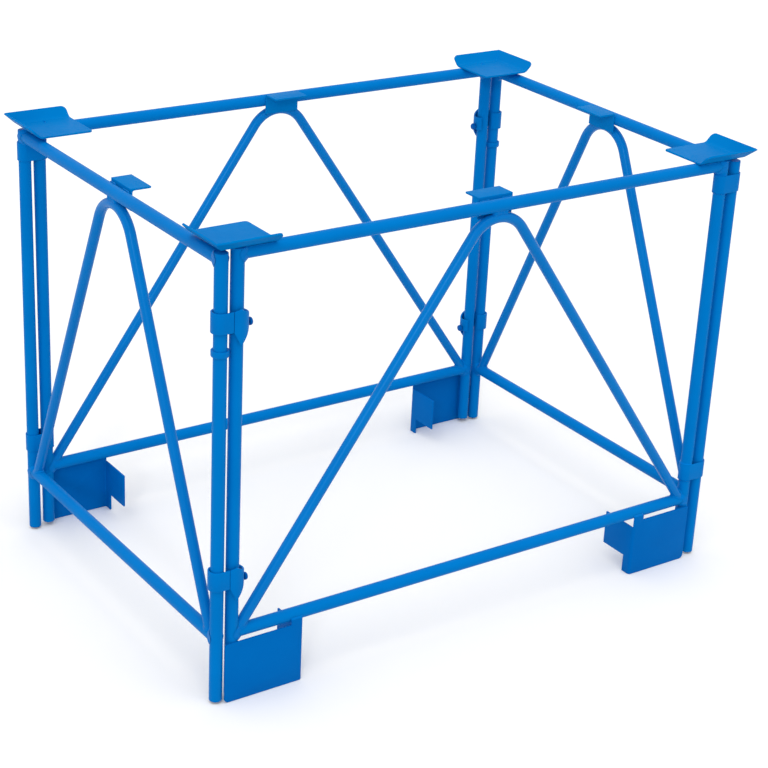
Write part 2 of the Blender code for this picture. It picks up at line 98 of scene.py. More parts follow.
SHIELD_CLEAR = 0.0056
SHIELD_PEAK_DEG = -95.0
SHIELD_SIDE_DEG = -35.0
SHIELD_END_DEG = 48.0
SHIELD_PEAK_RISE = 0.0055
SHIELD_POINT_DROP = 0.027
SHIELD_SIDE_DROP = 0.0075
SHIELD_SIDE_LIFT = 0.0025
PIN_BELOW_MID = 0.0105
PIN_R = 0.004
PIN_HOLE_R = 0.0044
PIN_SHOWN = 0.003
KNOB_R = 0.008
KNOB_T = 0.0065
RING_T = 0.0041
RING_H = 0.013
RING_BELOW_CLIP = 0.0355
SIDES = 48
MOUTH_SHARES = np.array([0.12, 0.4, 0.7, 0.9, 1.0])

# Rounds on edges, and the small middle circle that closes a turned piece
CAP_EDGE_R = 0.0011
FOOT_OUTER_R = 0.0005
FOOT_BORE_R = 0.0004
CAP_CENTRE_R = 0.002
PIN_CENTRE_R = 0.0008
KNOB_DOME_R = 0.0035
KNOB_BACK_R = 0.001
SHANK_FILLET_R = 0.0006
NOSE_R = 0.0012
RING_EDGE_R = 0.0009
RING_BORE_R = 0.0003
RING_FOOT_R = 0.003
PLATE_EDGE_R = 0.0009
SHOE_EDGE_R = 0.0006
SHIELD_EDGE_R = 0.0008
BAND_EDGE_R = 0.0009
STRAP_EDGE_R = 0.0007
ANGLE_HEEL_R = 0.0008
ANGLE_TOE_R = 0.0018
ANGLE_FILLET_R = 0.004
ANGLE_EDGE_R = 0.0004
TAB_FILLET_R = 0.0018
TAB_CORNER_R = 0.001

# Weld beads: leg lengths, ripple and swell, where each one starts and stops; the crown is a
# share of the leg
RAIL_BEAD = 0.0062
FOOT_BEAD = 0.0030
BRACKET_BEAD = {"upper": 0.0055, "lower": 0.005}
PLATE_RAIL_BEAD = 0.0045
PLATE_POST_BEAD = 0.0042
SHOE_TAB_BEAD = 0.0042
SHOE_POST_BEAD = 0.0045
STRAP_BEAD = 0.0028
BEAD_RIPPLE = 0.0036
BEAD_SWELL = 0.019
BEAD_CROWN = 0.10
BEAD_POINTS = 144
APEX_BEAD_HALF = 0.018
APEX_BEAD_END = 0.004
APEX_RAIL_DEG = 46.0
APEX_BRACE_DEG = 50.0
APEX_CROWN = 0.0006
BEAD_OFF_AXIS = 0.0055
BRACKET_STITCHES = ((-0.041, -0.016), (0.012, 0.041))
BRACKET_BEAD_IN = 0.0016
PLATE_BEAD_START = 0.006
PLATE_BEAD_STOP = 0.016
PLATE_BEAD_RAD = 2.3
SHOE_BEAD_START = 0.001
SHOE_BEAD_END_GAP = 0.004
SHOE_BEAD_BEHIND = 0.0006
STRAP_BEAD_RAD = 1.9


def turn_z(degrees):
    return np.array(Matrix.Rotation(math.radians(degrees), 4, "Z"))


def moved(x, y, z):
    return np.array(Matrix.Translation((x, y, z)))


def unit(vectors):
    return vectors / np.linalg.norm(vectors, axis=-1, keepdims=True)


def dot(a, b):
    return (a * b).sum(-1, keepdims=True)


def rounded(corners, radii, steps=4, closed=False):
    """Each corner of a flat polyline gives way to an arc tangent to both of its sides:
    tangent length = radius / tan(half angle), centre at radius / sin(half angle)."""
    points = []
    count = len(corners)
    corners = np.array(corners, float)
    for i, radius in enumerate(radii):
        corner = corners[i]
        if radius == 0.0 or (not closed and i in (0, count - 1)):
            points.append(corner[None])
            continue
        to_last = unit(corners[i - 1] - corner)
        to_next = unit(corners[(i + 1) % count] - corner)
        half = math.acos(float(np.clip(to_last @ to_next, -1.0, 1.0))) / 2.0
        centre = corner + unit(to_last + to_next) * radius / math.sin(half)
        first = corner + to_last * radius / math.tan(half) - centre
        last = corner + to_next * radius / math.tan(half) - centre
        start = math.atan2(first[1], first[0])
        turned = math.atan2(last[1], last[0]) - start
        turned = (turned + math.pi) % (2.0 * math.pi) - math.pi
        a = start + turned * np.linspace(0.0, 1.0, steps + 1)
        points.append(centre + radius * np.stack([np.cos(a), np.sin(a)], -1))
    return np.concatenate(points)


def skin(rings, closed=False):
    """Closed rings of points joined row by row; the first and last ring are filled unless the
    rows close on themselves. Faces are turned so that they look away from the rings' middles."""
    rows, sides = rings.shape[:2]
    at = np.arange(rows * sides).reshape(rows, sides)
    here, there = (at, np.roll(at, -1, 0)) if closed else (at[:-1], at[1:])
    quads = np.stack([here, np.roll(here, -1, 1), np.roll(there, -1, 1), there], -1)
    corners = rings.reshape(-1, 3)[quads]
    normals = np.cross(corners[..., 2, :] - corners[..., 0, :],
                       corners[..., 3, :] - corners[..., 1, :])
    middles = rings[:len(here)].mean(1)[:, None]
    faces = [quads.reshape(-1, 4)]
    if not closed:
        faces += [at[:1, ::-1], at[-1:]]
    if (normals * (corners.mean(2) - middles)).sum() < 0.0:
        faces = [f[:, ::-1] for f in faces]
    return rings.reshape(-1, 3), faces


def lathe(profile, sides=SIDES, closed=False):
    """A profile of (radius, height) turned about Z: x = r cos a, y = r sin a, z = height."""
    a = 2.0 * math.pi * np.arange(sides) / sides
    profile = np.array(profile, float)
    r, z = profile[:, :1], profile[:, 1:]
    return skin(np.stack([r * np.cos(a), r * np.sin(a), z + 0.0 * a], -1), closed)


def put(shell, place):
    """The shell's points carried by a 4 x 4 place matrix."""
    points, faces = shell
    return points @ place[:3, :3].T + place[:3, 3], faces


def piece(name, shells, finish, body, replaced=(), crease=35.0):
    """One mesh object of several closed shells, riding on a body of the frame."""
    shift = np.cumsum([0] + [len(points) for points, _ in shells])
    faces = [row for s, (_, groups) in zip(shift, shells)
             for f in groups for row in (f + s).tolist()]
    mesh = bpy.data.meshes.new(name)
    mesh.from_pydata(np.concatenate([points for points, _ in shells]).tolist(), [], faces)
    mesh.update()
    mesh.shade_smooth()
    mesh.set_sharp_from_angle(angle=math.radians(crease))
    mesh.materials.append(finish)
    obj = bpy.data.objects.new(name, mesh)
    bpy.context.scene.collection.objects.link(obj)
    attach(obj, body)
    if replaced:
        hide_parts(*replaced)
    return obj


def post(foot, top):
    """Round tube turned about Z: out along the cap, down the outside, up the bore."""
    bore = TUBE_R - TUBE_WALL
    corners = [(CAP_CENTRE_R, top), (TUBE_R, top), (TUBE_R, foot), (bore, foot),
               (bore, top - CAP_T), (CAP_CENTRE_R, top - CAP_T)]
    profile = rounded(corners, [0.0, CAP_EDGE_R, FOOT_OUTER_R, FOOT_BORE_R, 0.0, 0.0])
    levels = np.linspace(profile[5, 1], profile[6, 1], 14)[1:-1]
    side = np.stack([np.full(12, TUBE_R), levels], -1)
    return lathe(np.concatenate([profile[:6], side, profile[6:]]))


def rail(half, z):
    """Tube along X: y = r cos a, z = r sin a, each end at half - sqrt(R^2 - y^2), the saddle
    round the post, where R is the post's radius and a weld gap; the mouth is closed by the
    same saddle at smaller r."""
    a = 2.0 * math.pi * np.arange(SIDES) / SIDES
    y = TUBE_R * MOUTH_SHARES[:, None] * np.cos(a)
    rise = TUBE_R * MOUTH_SHARES[:, None] * np.sin(a)
    end = half - np.sqrt(RAIL_FACE ** 2 - y ** 2)
    mouth = np.stack([-end, y, z + rise], -1)
    along = np.linspace(-1.0, 1.0, 26)[1:-1, None]
    barrel = np.stack([along * end[-1], y[-1] + 0.0 * along,
                       z + rise[-1] + 0.0 * along], -1)
    far = mouth[::-1] * np.array([-1.0, 1.0, 1.0])
    return skin(np.concatenate([mouth, barrel, far]))


def brace_path(half, top_z, bottom_z, clear):
    """Centre line in XZ: a straight leg up from the rail, an arc at the apex, a leg down. Level
    with the rail's top the leg's outer line stops short of the post's face by about the
    clearance given, or runs past the face where that is negative."""
    apex = top_z - RAIL_FACE - BRACE_R
    seat = bottom_z + TUBE_R
    lean = math.atan2(apex - seat, half)
    foot = half - TUBE_R - BRACE_R / math.sin(lean) - clear
    centre = apex - BRACE_BEND_R
    tangent = (math.atan2(seat - centre, foot)
               + math.acos(BRACE_BEND_R / math.hypot(foot, centre - seat)))
    end = foot + (seat - bottom_z) * math.tan(tangent)
    a = np.linspace(math.pi - tangent, tangent, 25)
    bend = np.stack([BRACE_BEND_R * np.cos(a), centre + BRACE_BEND_R * np.sin(a)], -1)
    toe = np.array([-end, bottom_z])
    leg = toe + (bend[0] - toe) * np.linspace(0.04, 1.0, 14)[:-1, None]
    return np.concatenate([leg, bend, leg[::-1] * np.array([-1.0, 1.0])])


def brace_rings(path, shares, rows):
    """Rings round a path in XZ: centre + r (cos a Y + sin a N), N square to the path."""
    a = 2.0 * math.pi * np.arange(SIDES) / SIDES
    along = unit(np.gradient(path, axis=0))
    normal = np.stack([-along[:, 1], 0.0 * along[:, 0], along[:, 0]], -1)[rows, None]
    centre = np.stack([path[:, 0], 0.0 * path[:, 0], path[:, 1]], -1)[rows, None]
    r = BRACE_R * shares[:, None, None]
    across = np.cos(a)[:, None] * np.array([0.0, 1.0, 0.0]) + np.sin(a)[:, None] * normal
    return centre + r * across


def brace(half, top_z, bottom_z, clear):
    """Bent tube whose feet run on along the leg to what they meet first: the rail's round,
    z = rail + sqrt(R^2 - y^2), or the post's, x = sqrt(R^2 - y^2) - half."""
    path = brace_path(half, top_z, bottom_z, clear)
    body = brace_rings(path, np.ones(len(path)), np.arange(len(path)))
    foot = brace_rings(path, MOUTH_SHARES, np.zeros(len(MOUTH_SHARES), int))
    leg = unit(path[1] - path[0])
    leg = np.array([leg[0], 0.0, leg[1]])
    depth = np.sqrt(RAIL_FACE ** 2 - foot[..., 1] ** 2)
    to_rail = (bottom_z + depth - foot[..., 2]) / leg[2]
    to_post = (depth - half - foot[..., 0]) / leg[0]
    foot = foot + np.maximum(to_rail, to_post)[..., None] * leg
    far = foot[::-1] * np.array([-1.0, 1.0, 1.0])
    return skin(np.concatenate([foot, body[1:-1], far])), foot[-1], leg


def weld(crease, first, second, leg, closed=False, hollow=1.3):
    """Bead carried along a crease between two surfaces with normals m and n. Across it,
    point = crease + leg ((1-t)^p a + t^p b + c sin(pi t) o), where a and b are square to the
    crease in the two surfaces, o halves m and n, and p is the hollow; along it the leg swells
    with each ripple, and open ends taper."""
    a = unit(second - dot(first, second) * first)
    b = unit(first - dot(first, second) * second)
    out = unit(first + second)
    steps = np.linalg.norm(np.diff(crease, axis=0), axis=1)
    run = np.concatenate([[0.0], np.cumsum(steps)])
    size = leg * (1.0 + 0.06 * np.sin(2.0 * math.pi * run / BEAD_RIPPLE))
    size *= 1.0 + 0.05 * np.sin(2.0 * math.pi * run / BEAD_SWELL + 1.0)
    if not closed:
        ends = np.clip(np.minimum(run, run[-1] - run) / leg, 0.0, 1.0)
        size *= 0.25 + 0.75 * np.sqrt(1.0 - (1.0 - ends) ** 2)
    size = size[:, None, None]
    t = np.linspace(0.0, 1.0, 8)[None, :, None]
    face = (1.0 - t) ** hollow * a[:, None] + t ** hollow * b[:, None]
    face = face + BEAD_CROWN * np.sin(math.pi * t) * out[:, None]
    root = -0.25 * out[:, None]
    return skin(crease[:, None] + size * np.concatenate([face, root], 1), closed)


def rail_welds(half, z):
    """Beads round both ends of a rail, on the saddle where it meets the post."""
    a = 2.0 * math.pi * np.arange(BEAD_POINTS) / BEAD_POINTS
    y, rise = TUBE_R * np.cos(a), TUBE_R * np.sin(a)
    depth = np.sqrt(RAIL_FACE ** 2 - y ** 2)
    shells = []
    for end in (-1.0, 1.0):
        crease = np.stack([end * (half - depth), y, z + rise], -1)
        on_rail = np.stack([0.0 * a, np.cos(a), np.sin(a)], -1)
        on_post = np.stack([-end * depth, y, 0.0 * a], -1) / RAIL_FACE
        shells.append(weld(crease, on_rail, on_post, RAIL_BEAD, closed=True))
    return shells


def foot_welds(foot, leg, half, bottom_z):
    """Beads round both feet of a brace. Each point of the crease takes the normal of the round
    it lies on, the rail's or the post's, blended over nine points where one gives way."""
    fine = np.arange(BEAD_POINTS) * SIDES / BEAD_POINTS
    ring = np.stack([np.interp(fine, np.arange(SIDES + 1), np.append(c, c[0]))
                     for c in foot.T], -1)
    off_rail = ring * np.array([0.0, 1.0, 1.0]) - np.array([0.0, 0.0, bottom_z])
    off_post = ring * np.array([1.0, 1.0, 0.0]) + np.array([half, 0.0, 0.0])
    nearest = np.linalg.norm(off_rail, axis=1) < np.linalg.norm(off_post, axis=1)
    under = unit(np.where(nearest[:, None], off_rail, off_post))
    under = unit(sum(np.roll(under, shift, 0) for shift in range(-4, 5)))
    shells = []
    for side in (1.0, -1.0):
        flip = np.array([side, 1.0, 1.0])
        crease, along = ring * flip, leg * flip
        arm = crease - crease.mean(0)
        on_brace = unit(arm - dot(arm, along) * along)
        shells.append(weld(crease, on_brace, under * flip, FOOT_BEAD, closed=True))
    return shells


def apex_welds(top_z):
    """Two beads that fill the groove between the top rail and the brace's bend. Across one, the
    face runs from the rail's round at one angle to the brace's at another, crowned by
    sin(pi t); both angles shrink towards the ends, and the root lies inside the groove."""
    x = np.linspace(-APEX_BEAD_HALF, APEX_BEAD_HALF, 72)
    ends = np.clip((APEX_BEAD_HALF - abs(x)) / APEX_BEAD_END, 0.0, 1.0)
    ripple = 1.0 + 0.05 * np.sin(2.0 * math.pi * x / BEAD_RIPPLE)
    fill = (0.3 + 0.7 * np.sqrt(1.0 - (1.0 - ends) ** 2)) * ripple
    phi, psi = math.radians(APEX_RAIL_DEG) * fill, math.radians(APEX_BRACE_DEG) * fill
    sag = BRACE_R + np.sqrt(BRACE_BEND_R ** 2 - x ** 2) - BRACE_BEND_R
    middle = top_z - RAIL_FACE - 2.0 * BRACE_R + sag
    on_rail = np.stack([x, TUBE_R * np.sin(phi), top_z - TUBE_R * np.cos(phi)], -1)
    on_brace = np.stack([x, BRACE_R * np.sin(psi), middle + BRACE_R * np.cos(psi)], -1)
    root = (on_rail + on_brace) / 2.0 * np.array([1.0, 0.15, 1.0])
    t = np.linspace(0.0, 1.0, 9)[None, :, None]
    face = (1.0 - t) * on_rail[:, None] + t * on_brace[:, None]
    face = face + APEX_CROWN * np.sin(math.pi * t) * np.array([0.0, 1.0, 0.0])
    rings = np.concatenate([face, root[:, None]], 1)
    return [skin(rings * np.array([1.0, side, 1.0])) for side in (-1.0, 1.0)]


def bracket_welds(top_z):
    """Stitches in the grooves above and below the rail, between it and the angle's upright leg,
    with a gap left in the middle."""
    shells = []
    for start, stop in BRACKET_STITCHES:
        x = np.linspace(start, stop, 48)
        y = TUBE_R - BRACKET_BEAD_IN
        rise = math.sqrt(TUBE_R ** 2 - y ** 2)
        crease = np.stack([x, 0.0 * x + y, 0.0 * x + top_z + rise], -1)
        on_rail = np.broadcast_to(np.array([0.0, y, rise]) / TUBE_R, crease.shape)
        on_leg = np.broadcast_to(np.array([0.0, -1.0, 0.0]), crease.shape)
        shells.append(weld(crease, on_rail, on_leg, BRACKET_BEAD["upper"], hollow=1.2))
        low = crease * np.array([1.0, 1.0, -1.0]) + np.array([0.0, 0.0, 2.0 * top_z])
        shells.append(weld(low, on_rail * np.array([1.0, 1.0, -1.0]), on_leg,
                           BRACKET_BEAD["lower"]))
    return shells


def bracket(top_z):
    """Rolled angle: an L outline with rounded toes and fillet, carried along X."""
    leg, t = ANGLE_LEG, ANGLE_T
    corners = [(0.0, 0.0), (0.0, -leg), (t, -leg), (t, -t), (leg, -t), (leg, 0.0)]
    radii = [ANGLE_HEEL_R, ANGLE_EDGE_R, ANGLE_TOE_R, ANGLE_FILLET_R, ANGLE_TOE_R, ANGLE_EDGE_R]
    outline = rounded(corners, radii, 4, closed=True)
    half = ANGLE_LEN / 2.0
    x = np.array([-half, -half + ANGLE_EDGE_R, half - ANGLE_EDGE_R, half])
    inset = np.array([ANGLE_EDGE_R, 0.0, 0.0, ANGLE_EDGE_R])
    side = unit(np.roll(outline, -1, 0) - np.roll(outline, 1, 0))
    inward = np.stack([-side[:, 1], side[:, 0]], -1)
    following = np.roll(outline, -1, 0)
    area = np.sum(outline[:, 0] * following[:, 1] - outline[:, 1] * following[:, 0])
    flat = outline[None] + np.sign(area) * inset[:, None, None] * inward
    rings = np.stack([x[:, None] + 0.0 * flat[..., 0], RAIL_FACE + flat[..., 0],
                      top_z + TUBE_R + ANGLE_RISE + flat[..., 1]], -1)
    return skin(rings)


def fold(distance, deep):
    """Run and rise of the plate's bent edge at a distance past the bend's start, on a face that
    lies deep below the top one: an arc of the bend radius, then a straight at the lip's angle."""
    a = np.clip(distance / LIP_BEND_R, 0.0, LIP_ANGLE)
    straight = np.maximum(distance - LIP_BEND_R * LIP_ANGLE, 0.0)
    run = LIP_BEND_R * np.sin(a) + straight * math.cos(LIP_ANGLE) + deep * np.sin(a)
    rise = LIP_BEND_R * (1.0 - np.cos(a)) + straight * math.sin(LIP_ANGLE) - deep * np.cos(a)
    return np.where(distance < 0.0, distance, run), rise


def round_off(p, q, corner, radius, way):
    """Moves the points of a square block at a sheet's corner inwards, so that its outer sides
    become a quarter circle: about the arc's centre, v' = v max(|v|) / |v|."""
    u = (p - corner[0]) * way[0] + radius
    v = (q - corner[1]) * way[1] + radius
    block = (u > 1e-9) & (v > 1e-9)
    share = np.where(block, np.maximum(u, v) / np.hypot(u, v).clip(1e-9), 1.0)
    return (np.where(block, corner[0] + (u * share - radius) * way[0], p),
            np.where(block, corner[1] + (v * share - radius) * way[1], q))


def round_rims(obj, width):
    """A small round on the sheared edges of a plate."""
    edges = obj.modifiers.new("edges", "BEVEL")
    edges.width, edges.segments, edges.limit_method = width, 3, "ANGLE"
    edges.angle_limit = math.radians(50.0)


def corner_plate(name, end, place, body, finish, node):
    """Sheet laid out flat on a grid (p, q), its three free corners rounded, then folded:
    x and y are the runs of p and q, height = the larger of their rises, so that the two lips
    meet in a mitre. The lower face is the same fold, one thickness deeper."""
    flat_x = LONG_POST_X + POST_PITCH + PLATE_PAST_POST
    bend = LIP_BEND_R * LIP_ANGLE
    outer = bend + LIP_STRAIGHT
    quarter = np.linspace(0.0, LIP_END_R, 7)
    past = np.concatenate([np.linspace(0.0, bend, 8)[1:], outer - quarter[::-1]])
    first_p = LONG_POST_X - PLATE_ALONG_IN - flat_x
    first_q = -PLATE_REACH_IN - PLATE_REACH_OUT
    flat = [-0.075, -0.05, -0.025, -0.01, 0.0]
    ps = np.concatenate([first_p + quarter, flat, past])
    qs = np.concatenate([first_q + quarter, flat, past])
    p, q = np.meshgrid(ps, qs, indexing="ij")
    p, q = round_off(p, q, (first_p, outer), LIP_END_R, (-1.0, 1.0))
    p, q = round_off(p, q, (outer, first_q), LIP_END_R, (1.0, -1.0))
    p, q = round_off(p, q, (first_p, first_q), PLATE_INNER_R, (-1.0, -1.0))
    sheets = []
    for deep in (0.0, PLATE_T):
        run_p, rise_p = fold(p, deep)
        run_q, rise_q = fold(q, deep)
        sheets.append(np.stack([end * (flat_x + run_p), -PLATE_REACH_OUT - run_q,
                                LONG_TOP_Z + RAIL_FACE + PLATE_T
                                + np.maximum(rise_p, rise_q)], -1))
    n, m = p.shape
    at = np.arange(n * m).reshape(n, m)
    quads = np.stack([at[:-1, :-1], at[1:, :-1], at[1:, 1:], at[:-1, 1:]], -1)
    first = len(ps) - len(past) - 1
    k = np.arange(len(past)) + first
    mitre = quads[k, k]
    keep = np.ones(quads.shape[:2], bool)
    keep[k, k] = False
    top = [quads[keep], mitre[:, [0, 1, 2]], mitre[:, [0, 2, 3]]]
    rim = np.concatenate([at[:-1, 0], at[-1, :-1], at[:0:-1, -1], at[0, :0:-1]])
    side = np.stack([rim, rim + n * m, np.roll(rim, -1) + n * m, np.roll(rim, -1)], -1)
    faces = [f[:, ::-1] for f in top] + [f + n * m for f in top] + [side[:, ::-1]]
    if end < 0.0:
        faces = [f[:, ::-1] for f in faces]
    points = np.concatenate([s.reshape(-1, 3) for s in sheets])
    obj = piece(name, [put((points, faces), place)], finish, body, [node], 30.0)
    round_rims(obj, PLATE_EDGE_R)


def plate_welds(end):
    """Beads under a corner plate: both sides of the rail, and round the post's outer half."""
    shells = []
    inner_x = LONG_POST_X - PLATE_ALONG_IN
    x = end * np.linspace(inner_x + PLATE_BEAD_START, LONG_POST_X - PLATE_BEAD_STOP, 90)
    for side in (-1.0, 1.0):
        y = side * BEAD_OFF_AXIS
        rise = math.sqrt(TUBE_R ** 2 - y ** 2)
        crease = np.stack([x, 0.0 * x + y, 0.0 * x + LONG_TOP_Z + rise], -1)
        on_rail = np.broadcast_to(np.array([0.0, y, rise]) / TUBE_R, crease.shape)
        down = np.broadcast_to(np.array([0.0, 0.0, -1.0]), crease.shape)
        shells.append(weld(crease, on_rail, down, PLATE_RAIL_BEAD))
    a = np.linspace(-PLATE_BEAD_RAD, PLATE_BEAD_RAD, 90)
    around = np.stack([end * np.cos(a), np.sin(a), 0.0 * a], -1)
    centre = np.array([end * LONG_POST_X, 0.0, LONG_TOP_Z + TUBE_R])
    down = np.broadcast_to(np.array([0.0, 0.0, -1.0]), around.shape)
    shells.append(weld(centre + TUBE_R * around, around, down, PLATE_POST_BEAD))
    return shells


def shoe_plate(name, end, tag, place, body, node):
    """Sheet laid out flat as (u, z), with u counted from the inner bend: a face with rounded
    corners, a slit's height below the rail, and a tab up the rail's face. Beyond the bend
    x = bend - r sin a, y = mid + r (1 - cos a), then a flange and a tongue run on to the back."""
    mid = -RAIL_FACE - SHOE_T / 2.0
    bend_r = SHOE_BEND_R + SHOE_T / 2.0
    bend_x = LONG_POST_X - SHOE_IN + SHOE_T / 2.0 + bend_r
    sheet_top = LONG_BOTTOM_Z - TUBE_R - SHOE_SLIT
    tab_top = LONG_BOTTOM_Z - SHOE_TAB_BELOW_AXIS
    flange_top = SHORT_BOTTOM_Z - TUBE_R - FLANGE_BELOW_RAIL
    width = LONG_POST_X + SHOE_OUT[tag] - bend_x
    tab = SHOE_TAB_W - SHOE_T / 2.0 - bend_r
    outline = rounded([(0.0, 0.0), (width, 0.0), (width, sheet_top), (tab, sheet_top),
                       (tab, tab_top), (0.0, tab_top)],
                      [0.0, SHOE_CORNER_R, SHOE_TOP_R[tag], TAB_FILLET_R, TAB_CORNER_R, 0.0],
                      6, closed=True)
    edge = len(outline)
    face = np.concatenate([outline, [[0.0, flange_top], [0.0, FLANGE_FOOT_Z]]])
    a = np.radians(np.arange(1, 7) * 15.0)
    plan = np.stack([bend_x - bend_r * np.sin(a), mid + bend_r * (1.0 - np.cos(a))], -1)
    back = -RAIL_FACE - SHOE_T + np.array([TONGUE_REACH, FLANGE_REACH])
    plan = np.concatenate([plan, np.stack([np.full(2, bend_x - bend_r), back], -1)])
    levels = np.array([0.0, FLANGE_FOOT_Z, flange_top, tab_top])
    grid = np.concatenate([np.repeat(plan, 4, 0), np.tile(levels, len(plan))[:, None]], 1)
    front = np.stack([bend_x + face[:, 0], 0.0 * face[:, 0] + mid, face[:, 1]], -1)
    points = np.concatenate([front, grid])
    at = np.concatenate([[[0, edge + 1, edge, edge - 1]],
                         len(face) + np.arange(len(grid)).reshape(-1, 4)])
    quads = np.stack([at[:-1, :-1], at[:-1, 1:], at[1:, 1:], at[1:, :-1]], -1)
    present = np.ones(quads.shape[:2], bool)
    present[4:, 2] = False
    present[-1, 0] = False
    quads = quads[present]
    used = np.zeros(len(points), bool)
    used[:len(face)] = True
    used[quads] = True
    new = np.cumsum(used) - 1
    faces = [np.arange(len(face))[None], new[quads]]
    if end < 0.0:
        faces = [f[:, ::-1] for f in faces]
    points = points[used] * np.array([end, 1.0, 1.0])
    # The shoe coat carries painted shade: its colour is darker than the plates' for the dimmer
    # light near the floor.
    obj = piece(name, [put((points, faces), place)], COAT["shoe"], body,
                [node])
    wall = obj.modifiers.new("wall", "SOLIDIFY")
    wall.thickness, wall.offset, wall.use_even_offset = SHOE_T, 0.0, True
    round_rims(obj, SHOE_EDGE_R)


def shoe_welds(end, tag):
    """Beads on a shoe: along the tab's top edge, and down the post behind the sheet."""
    inner_x = LONG_POST_X - SHOE_IN
    x = end * np.linspace(inner_x + SHOE_BEAD_START, inner_x + SHOE_TAB_W, 48)
    drop = np.array([0.0, -math.sqrt(TUBE_R ** 2 - SHOE_TAB_BELOW_AXIS ** 2),
                     -SHOE_TAB_BELOW_AXIS])
    crease = np.stack([x, 0.0 * x, 0.0 * x + LONG_BOTTOM_Z], -1) + drop
    on_rail = np.broadcast_to(drop / TUBE_R, crease.shape)
    upward = np.broadcast_to(np.array([0.0, 0.0, 1.0]), crease.shape)
    shells = [weld(crease, on_rail, upward, SHOE_TAB_BEAD, hollow=1.1)]
    sheet_top = LONG_BOTTOM_Z - TUBE_R - SHOE_SLIT
    z = np.linspace(LONG_FOOT_Z + SHOE_BEAD_END_GAP, sheet_top - SHOE_BEAD_END_GAP, 140)
    for side in (-1.0, 1.0) if tag == "latch" else (-1.0,):
        away = np.array([end * side * BEAD_OFF_AXIS,
                         -math.sqrt(TUBE_R ** 2 - BEAD_OFF_AXIS ** 2), 0.0])
        crease = np.stack([0.0 * z + end * LONG_POST_X, 0.0 * z - SHOE_BEAD_BEHIND, z], -1) + away
        on_post = np.broadcast_to(away / TUBE_R, crease.shape)
        on_sheet = np.broadcast_to(np.array([0.0, 1.0, 0.0]), crease.shape)
        shells.append(weld(crease, on_post, on_sheet, SHOE_POST_BEAD, hollow=1.1))
    return shells


def sweep(path, normal, section, closed=False, lean=None):
    """A section (thickness, height) carried along a path in XY: path + thickness N + height Z.
    Where a lean is given, it says how far each point of the last section reaches."""
    flat = np.append(normal, np.zeros((len(normal), 1)), 1)
    spread = section[None, :, :1] * flat[:, None]
    rings = np.append(path, np.zeros((len(path), 1)), 1)[:, None] + spread
    rings[..., 2] += section[None, :, 1]
    if lean is not None:
        rings[-1, :, 0] = lean(rings[-1, :, 1])
    return skin(rings, closed)


def bar_section(thickness, height, radius):
    """Rounded rectangle, thickness by height."""
    t, h = thickness / 2.0, height / 2.0
    corners = [(-t, -h), (t, -h), (t, h), (-t, h)]
    return rounded(corners, [radius] * 4, 3, closed=True)


def hinge_strap():
    """Flat bar bent round both posts of a corner: two half circles and two straights."""
    r = TUBE_R + STRAP_CLEAR + STRAP_T / 2.0
    a = np.linspace(math.pi / 2.0, 1.5 * math.pi, 29)
    left = np.stack([np.cos(a), np.sin(a)], -1)
    normal = np.concatenate([left, -left])
    path = np.concatenate([r * left, -r * left + np.array([POST_PITCH, 0.0])])
    return sweep(path, normal, bar_section(STRAP_T, STRAP_H, STRAP_EDGE_R), closed=True)


def strap_welds():
    """Beads on the long post, above and below the hinge strap."""
    a = np.linspace(-STRAP_BEAD_RAD, STRAP_BEAD_RAD, 80)
    around = np.stack([np.cos(a), np.sin(a), 0.0 * a], -1)
    shells = []
    for side in (-1.0, 1.0):
        crease = TUBE_R * around + np.array([POST_PITCH, 0.0, side * STRAP_H / 2.0])
        flat = np.broadcast_to(np.array([0.0, 0.0, side]), crease.shape)
        shells.append(weld(crease, around, flat, STRAP_BEAD))
    return shells


def shield_start():
    """Angle about the long post at which the shield meets the band's straight run."""
    band_mid = TUBE_R + LOOP_CLEAR + CLIP_T / 2.0
    return math.asin(band_mid / (TUBE_R + SHIELD_CLEAR + CLIP_T / 2.0)) - math.pi


def clip_band():
    """Flat bar looped round the short post, then straight to the shield, its end cut to fit."""
    mid = TUBE_R + LOOP_CLEAR + CLIP_T / 2.0
    radius = TUBE_R + SHIELD_CLEAR + CLIP_T / 2.0
    start = shield_start()
    meet = POST_PITCH + radius * math.cos(start)
    slope = math.cos(start) / -math.sin(start)
    a = np.linspace(math.radians(LOOP_START_DEG), 1.5 * math.pi, 45)
    loop = np.stack([np.cos(a), np.sin(a)], -1)
    path = np.append(mid * loop - np.array([LOOP_OFFSET, 0.0]), [[meet, -mid]], 0)
    normal = np.append(loop, [[0.0, -1.0]], 0)
    section = bar_section(CLIP_T, CLIP_H, BAND_EDGE_R)
    return sweep(path, normal, section,
                 lean=lambda y: meet - WELD_GAP / abs(math.sin(start)) - (y + mid) * slope)


